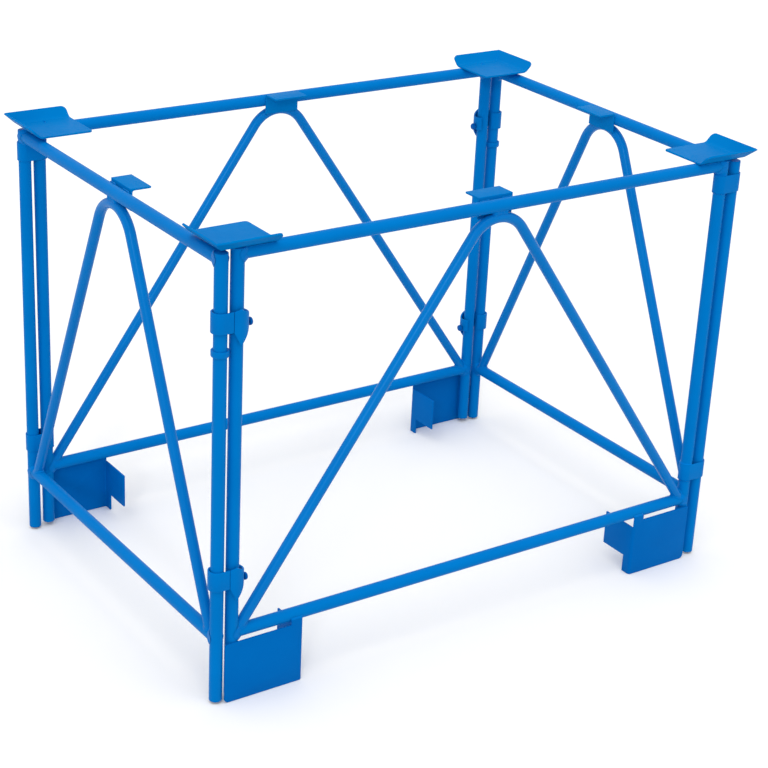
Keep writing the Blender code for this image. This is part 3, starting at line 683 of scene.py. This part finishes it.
def clip_shield(name, place, body, finish, node):
    """Plate on a cylinder about the long post: x = pitch + R cos a, y = R sin a. Its height runs
    between a lower and an upper edge that are broken lines over a; a square of cells at the
    pin becomes a round hole, its rim = centre + r (direction of each corner)."""
    radius = TUBE_R + SHIELD_CLEAR + CLIP_T / 2.0
    half = CLIP_H / 2.0
    peak, side, last = np.radians([SHIELD_PEAK_DEG, SHIELD_SIDE_DEG, SHIELD_END_DEG])
    bends = [shield_start(), peak, side, last]
    low = [-half, -half - SHIELD_POINT_DROP, -half + SHIELD_SIDE_LIFT, -half + SHIELD_SIDE_LIFT]
    high = [half, half + SHIELD_PEAK_RISE, half - SHIELD_SIDE_DROP, half - SHIELD_SIDE_DROP]
    cell = np.arange(-2, 3) * PIN_HOLE_R / 2.0
    a = np.concatenate([np.linspace(bends[0], peak, 9)[:-1], np.linspace(peak, side, 8)[:-1],
                        np.linspace(side, cell[0] / radius, 5)[:-1], cell / radius,
                        np.linspace(cell[-1] / radius, last, 8)[1:]])
    lower, upper = np.interp(a, bends, low), np.interp(a, bends, high)
    rows = cell - PIN_BELOW_MID
    share = np.array([0.0, 0.5])
    rest = np.linspace(0.0, 1.0, 6)[1:]
    z = np.concatenate([lower[:, None] + (rows[0] - lower[:, None]) * share,
                        np.broadcast_to(rows, (len(a), len(rows))),
                        rows[-1] + (upper[:, None] - rows[-1]) * rest], 1)
    arc = np.repeat(radius * a[:, None], z.shape[1], 1)
    rise = z + PIN_BELOW_MID
    slack = 0.0001
    outer, inner = PIN_HOLE_R + slack, PIN_HOLE_R - slack
    hole = (abs(arc) < outer) & (abs(rise) < outer)
    rim = hole & ((abs(arc) > inner) | (abs(rise) > inner))
    reach = np.hypot(arc, rise)
    pull = np.where(rim, PIN_HOLE_R / np.where(reach > 0.0, reach, 1.0), 1.0)
    arc, z = arc * pull, rise * pull - PIN_BELOW_MID
    inside = hole & ~rim
    points = np.stack([POST_PITCH + radius * np.cos(arc / radius),
                       radius * np.sin(arc / radius), z], -1)
    at = np.arange(arc.size).reshape(arc.shape)
    quads = np.stack([at[:-1, :-1], at[1:, :-1], at[1:, 1:], at[:-1, 1:]], -1).reshape(-1, 4)
    quads = quads[~hole.reshape(-1)[quads].all(1)]
    used = ~inside.reshape(-1)
    quads = (np.cumsum(used) - 1)[quads]
    obj = piece(name, [put((points.reshape(-1, 3)[used], [quads]), place)], finish, body,
                [node])
    wall = obj.modifiers.new("wall", "SOLIDIFY")
    wall.thickness, wall.offset, wall.use_even_offset = CLIP_T, 0.0, True
    round_rims(obj, SHIELD_EDGE_R)


def lock_pin():
    """Pin turned about its axis: nose, shank and a domed knob."""
    shank = SHIELD_CLEAR - WELD_GAP + CLIP_T + PIN_SHOWN
    top = shank + KNOB_T
    corners = [(PIN_CENTRE_R, top), (KNOB_R, top), (KNOB_R, shank), (PIN_R, shank),
               (PIN_R, 0.0), (PIN_CENTRE_R, 0.0)]
    radii = [0.0, KNOB_DOME_R, KNOB_BACK_R, SHANK_FILLET_R, NOSE_R, 0.0]
    return lathe(rounded(corners, radii), 40)


def stop_ring():
    """Collar turned about the post, with a round foot."""
    inner, outer = TUBE_R + WELD_GAP, TUBE_R + WELD_GAP + RING_T
    corners = [(inner, 0.0), (outer, 0.0), (outer, -RING_H), (inner, -RING_H)]
    radii = [RING_BORE_R, RING_EDGE_R, RING_FOOT_R, RING_BORE_R]
    return lathe(rounded(corners, radii, 4, closed=True), closed=True)


def node(tree, kind, at, **inputs):
    made = tree.nodes.new(kind)
    made.location = at
    for name, value in inputs.items():
        made.inputs[name.replace("_", " ")].default_value = value
    return made


def powder_coat(name, colour, deep, shine, roughness, peel, grain, tint=(0.02, 0.45, 1.0)):
    """Baked blue coat: slow cloudiness in the colour, gloss that varies, and orange peel."""
    material = bpy.data.materials.new(name)
    material.use_nodes = True
    tree = material.node_tree
    shader = tree.nodes["Principled BSDF"]
    shader.inputs["Specular IOR Level"].default_value = shine
    shader.inputs["Specular Tint"].default_value = (*tint, 1.0)
    where = node(tree, "ShaderNodeTexCoord", (-1100, 0))
    clouds = node(tree, "ShaderNodeTexNoise", (-880, 220), Scale=7.0, Detail=4.0, Roughness=0.55)
    speck = node(tree, "ShaderNodeTexNoise", (-880, -40), Scale=90.0, Detail=3.0, Roughness=0.6)
    skin_noise = node(tree, "ShaderNodeTexNoise", (-880, -300), Scale=grain, Detail=2.0)
    for noise in (clouds, speck, skin_noise):
        tree.links.new(where.outputs["Object"], noise.inputs["Vector"])
    blend = node(tree, "ShaderNodeMapRange", (-640, 220), From_Min=0.35, From_Max=0.65)
    tree.links.new(clouds.outputs["Fac"], blend.inputs["Value"])
    mix = tree.nodes.new("ShaderNodeMix")
    mix.data_type, mix.location = "RGBA", (-400, 220)
    mix.inputs["A"].default_value = (*colour, 1.0)
    mix.inputs["B"].default_value = (*deep, 1.0)
    tree.links.new(blend.outputs["Result"], mix.inputs["Factor"])
    tree.links.new(mix.outputs["Result"], shader.inputs["Base Color"])
    gloss = node(tree, "ShaderNodeMapRange", (-400, -40), From_Min=0.3, From_Max=0.7,
                 To_Min=roughness - 0.05, To_Max=roughness + 0.07)
    tree.links.new(speck.outputs["Fac"], gloss.inputs["Value"])
    tree.links.new(gloss.outputs["Result"], shader.inputs["Roughness"])
    bump = node(tree, "ShaderNodeBump", (-400, -300), Strength=peel, Distance=0.0004)
    tree.links.new(skin_noise.outputs["Fac"], bump.inputs["Height"])
    tree.links.new(bump.outputs["Normal"], shader.inputs["Normal"])
    return material


# Each kind's colour, deeper colour, specular level, roughness, peel and grain of the peel
COATS = {
    "tube": ((0.0, 0.187, 0.575), (0.0, 0.172, 0.540), 0.04, 0.36, 0.12, 420.0),
    "brace": ((0.0, 0.182, 0.570), (0.0, 0.167, 0.535), 0.12, 0.20, 0.03, 420.0,
              (0.35, 0.75, 1.0)),
    "plate": ((0.0, 0.195, 0.560), (0.0, 0.175, 0.520), 0.01, 0.36, 0.16, 380.0),
    # The shoe colour is set darker than the other coats as painted shade, standing in for the
    # dimmer light low down near the floor.
    "shoe": ((0.0, 0.145, 0.500), (0.0, 0.130, 0.465), 0.03, 0.42, 0.16, 380.0),
    "clip": ((0.0, 0.182, 0.565), (0.0, 0.162, 0.525), 0.06, 0.40, 0.18, 460.0),
    "pin": ((0.0, 0.110, 0.420), (0.0, 0.090, 0.380), 0.10, 0.34, 0.14, 520.0),
    "weld": ((0.0, 0.182, 0.580), (0.0, 0.157, 0.525), 0.12, 0.34, 0.35, 260.0),
}
COAT = {kind: powder_coat(f"{kind}_powder_coat", *values) for kind, values in COATS.items()}

FRONT = moved(0.0, -PANEL_Y, 0.0)
LEFT = moved(-SHORT_X, 0.0, 0.0) @ turn_z(-90.0)
PANELS = {
    "front": (FRONT, LONG_POST_X, LONG_FOOT_Z, LONG_TOP_Z, LONG_BOTTOM_Z, -1.0),
    "back": (turn_z(180.0) @ FRONT, LONG_POST_X, LONG_FOOT_Z, LONG_TOP_Z, LONG_BOTTOM_Z, -1.0),
    "left": (LEFT, PANEL_Y, SHORT_FOOT_Z, SHORT_TOP_Z, SHORT_BOTTOM_Z, 1.0),
    "right": (turn_z(180.0) @ LEFT, PANEL_Y, SHORT_FOOT_Z, SHORT_TOP_Z, SHORT_BOTTOM_Z, 1.0),
}

for side, (place, half, foot_z, top_z, bottom_z, latch) in PANELS.items():
    body = f"{side}_panel"
    for tag, sign in (("latch", latch), ("hinge", -latch)):
        at = place @ moved(sign * half, 0.0, 0.0)
        piece(f"{side}_post_{tag}_tube", [put(post(foot_z, top_z + TUBE_R), at)], COAT["tube"],
              body, [f"{side}_post_{tag}"])
    for tag, z in (("top", top_z), ("bottom", bottom_z)):
        piece(f"{side}_rail_{tag}_tube", [put(rail(half, z), place)], COAT["tube"], body,
              [f"{side}_rail_{tag}"])
        piece(f"{side}_rail_{tag}_welds", [put(s, place) for s in rail_welds(half, z)],
              COAT["weld"], body)
    clear = LONG_BRACE_CLEAR if half == LONG_POST_X else SHORT_BRACE_CLEAR
    tube, foot, leg = brace(half, top_z, bottom_z, clear)
    piece(f"{side}_brace_tube", [put(tube, place)], COAT["brace"], body,
          [f"{side}_brace"])
    beads = foot_welds(foot, leg, half, bottom_z) + apex_welds(top_z)
    piece(f"{side}_brace_welds", [put(s, place) for s in beads], COAT["weld"], body)
    piece(f"{side}_bracket_angle", [put(bracket(top_z), place)], COAT["plate"], body,
          [f"{side}_bracket"])
    piece(f"{side}_bracket_welds", [put(s, place) for s in bracket_welds(top_z)], COAT["weld"],
          body)

for side, turn in (("front", 0.0), ("back", 180.0)):
    place, body = PANELS[side][0], f"{side}_panel"
    for tag, end in (("latch", -1.0), ("hinge", 1.0)):
        corner_plate(f"{side}_corner_plate_{tag}_lipped", end, place, body, COAT["plate"],
                     f"{side}_corner_plate_{tag}")
        piece(f"{side}_corner_plate_{tag}_welds", [put(s, place) for s in plate_welds(end)],
              COAT["weld"], body)
        shoe_plate(f"{side}_shoe_{tag}_bent", end, tag, place, body, f"{side}_shoe_{tag}")
        piece(f"{side}_shoe_{tag}_welds", [put(s, place) for s in shoe_welds(end, tag)],
              COAT["weld"], body)
    hinged = turn_z(turn) @ moved(SHORT_X, -PANEL_Y, 0.0) @ turn_z(180.0)
    for tag, z in STRAP_Z.items():
        at = hinged @ moved(0.0, 0.0, z)
        piece(f"{side}_hinge_strap_{tag}_ring", [put(hinge_strap(), at)], COAT["clip"], body,
              [f"{side}_hinge_strap_{tag}"])
        piece(f"{side}_hinge_strap_{tag}_welds", [put(s, at) for s in strap_welds()],
              COAT["weld"], body)
    latched = turn_z(turn) @ moved(-SHORT_X, -PANEL_Y, 0.0)
    for tag, z in CLIP_Z.items():
        at = latched @ moved(0.0, 0.0, z)
        clip, slide = f"{side}_clip_{tag}", f"{side}_pin_{tag}"
        piece(f"{side}_clip_band_{tag}_loop", [put(clip_band(), at)], COAT["clip"], clip,
              [f"{side}_clip_band_{tag}"])
        clip_shield(f"{side}_clip_shield_{tag}_plate", at, clip, COAT["clip"],
                    f"{side}_clip_shield_{tag}")
        nose = at @ moved(POST_PITCH + TUBE_R + WELD_GAP, 0.0, -PIN_BELOW_MID)
        nose = nose @ np.array(Matrix.Rotation(math.pi / 2.0, 4, "Y"))
        piece(f"{side}_lock_pin_{tag}_turned", [put(lock_pin(), nose)], COAT["pin"], slide,
              [f"{side}_lock_pin_{tag}"])
    ring_z = CLIP_Z["upper"] - CLIP_H / 2.0 - RING_BELOW_CLIP
    short = {"front": "left", "back": "right"}[side]
    piece(f"{short}_stop_ring_collar", [put(stop_ring(), latched @ moved(0.0, 0.0, ring_z))],
          COAT["clip"], f"{short}_panel", [f"{short}_stop_ring"])


# Camera at the photograph's place and angle
CAMERA_AT = (-2.2928, -3.3019, 2.1756)
AZIMUTH, ELEVATION, ROLL = (math.radians(a) for a in (-35.240, 23.875, 2.897))
LENS_MM, SENSOR_MM = 91.94, 36.0
ahead = np.array([-math.sin(AZIMUTH) * math.cos(ELEVATION),
                  math.cos(AZIMUTH) * math.cos(ELEVATION), -math.sin(ELEVATION)])
right = unit(np.cross(ahead, [0.0, 0.0, 1.0]))
up = np.cross(right, ahead)
right, up = (math.cos(ROLL) * right + math.sin(ROLL) * up,
             math.cos(ROLL) * up - math.sin(ROLL) * right)
camera_data = bpy.data.cameras.new("photo_view")
camera_data.sensor_width = SENSOR_MM
camera_data.lens = LENS_MM
camera = bpy.data.objects.new("photo_view", camera_data)
aim = Matrix(np.stack([right, up, -ahead], -1).tolist()).to_4x4()
camera.matrix_world = Matrix.Translation(CAMERA_AT) @ aim
bpy.context.scene.collection.objects.link(camera)
bpy.context.scene.camera = camera
bpy.context.scene.view_settings.view_transform = "Standard"


def seen_directly(tree, at):
    """1 where the camera, a reflection or a refraction looks at the surface, else 0."""
    path = node(tree, "ShaderNodeLightPath", (at[0] - 420, at[1]))
    total = path.outputs["Is Camera Ray"]
    for kind in ("Is Glossy Ray", "Is Transmission Ray"):
        larger = node(tree, "ShaderNodeMath", (at[0] - 200, at[1]))
        larger.operation = "MAXIMUM"
        tree.links.new(total, larger.inputs[0])
        tree.links.new(path.outputs[kind], larger.inputs[1])
        total = larger.outputs[0]
    return total


# Plain pale studio: even surroundings, two soft lamps, a floor that keeps the shadow
world = bpy.data.worlds.new("studio")
bpy.context.scene.world = world
world.use_nodes = True
tree = world.node_tree
tree.nodes.clear()
WHITE, LIT_GREY, SEEN_GREY = ((g, g, g, 1.0) for g in (1.0, 0.72, 0.98))
SURROUND_STRENGTH = 0.80
lit = node(tree, "ShaderNodeBackground", (0, 0), Color=WHITE, Strength=SURROUND_STRENGTH)
white = node(tree, "ShaderNodeBackground", (0, -160), Color=WHITE, Strength=1.0)
pick = node(tree, "ShaderNodeMixShader", (240, 0))
tree.links.new(seen_directly(tree, (0, 260)), pick.inputs[0])
tree.links.new(lit.outputs[0], pick.inputs[1])
tree.links.new(white.outputs[0], pick.inputs[2])
tree.links.new(pick.outputs[0], node(tree, "ShaderNodeOutputWorld", (460, 0)).inputs[0])

# Each lamp's name, strength, spread and three tilts in degrees
for name, energy, spread, tilt_x, tilt_y, tilt_z in (
    ("soft_lamp_above", 0.95, 60.0, 17.0, -13.0, 0.0),
    ("soft_lamp_before", 0.45, 8.0, 64.0, 0.0, -43.0),
):
    lamp_data = bpy.data.lights.new(name, "SUN")
    lamp_data.energy = energy
    lamp_data.angle = math.radians(spread)
    lamp = bpy.data.objects.new(name, lamp_data)
    lamp.rotation_euler = [math.radians(tilt) for tilt in (tilt_x, tilt_y, tilt_z)]
    bpy.context.scene.collection.objects.link(lamp)

floor_mesh = bpy.data.meshes.new("studio_floor")
FLOOR_HALF, FLOOR_DROP = 40, 0.0005
floor_corners = [(x * FLOOR_HALF, y * FLOOR_HALF, 0)
                 for x, y in ((-1, -1), (1, -1), (1, 1), (-1, 1))]
floor_mesh.from_pydata(floor_corners, [], [(0, 1, 2, 3)])
floor = bpy.data.objects.new("studio_floor", floor_mesh)
floor.location.z = -FLOOR_DROP
bpy.context.scene.collection.objects.link(floor)
pale = bpy.data.materials.new("pale_floor")
pale.use_nodes = True
tree = pale.node_tree
tree.nodes.clear()
matt = node(tree, "ShaderNodeBsdfDiffuse", (0, 0), Color=LIT_GREY)
bright = node(tree, "ShaderNodeBsdfDiffuse", (0, -160), Color=SEEN_GREY)
pick = node(tree, "ShaderNodeMixShader", (240, 0))
tree.links.new(seen_directly(tree, (0, 260)), pick.inputs[0])
tree.links.new(matt.outputs[0], pick.inputs[1])
tree.links.new(bright.outputs[0], pick.inputs[2])
tree.links.new(pick.outputs[0], node(tree, "ShaderNodeOutputMaterial", (460, 0)).inputs[0])
floor_mesh.materials.append(pale)
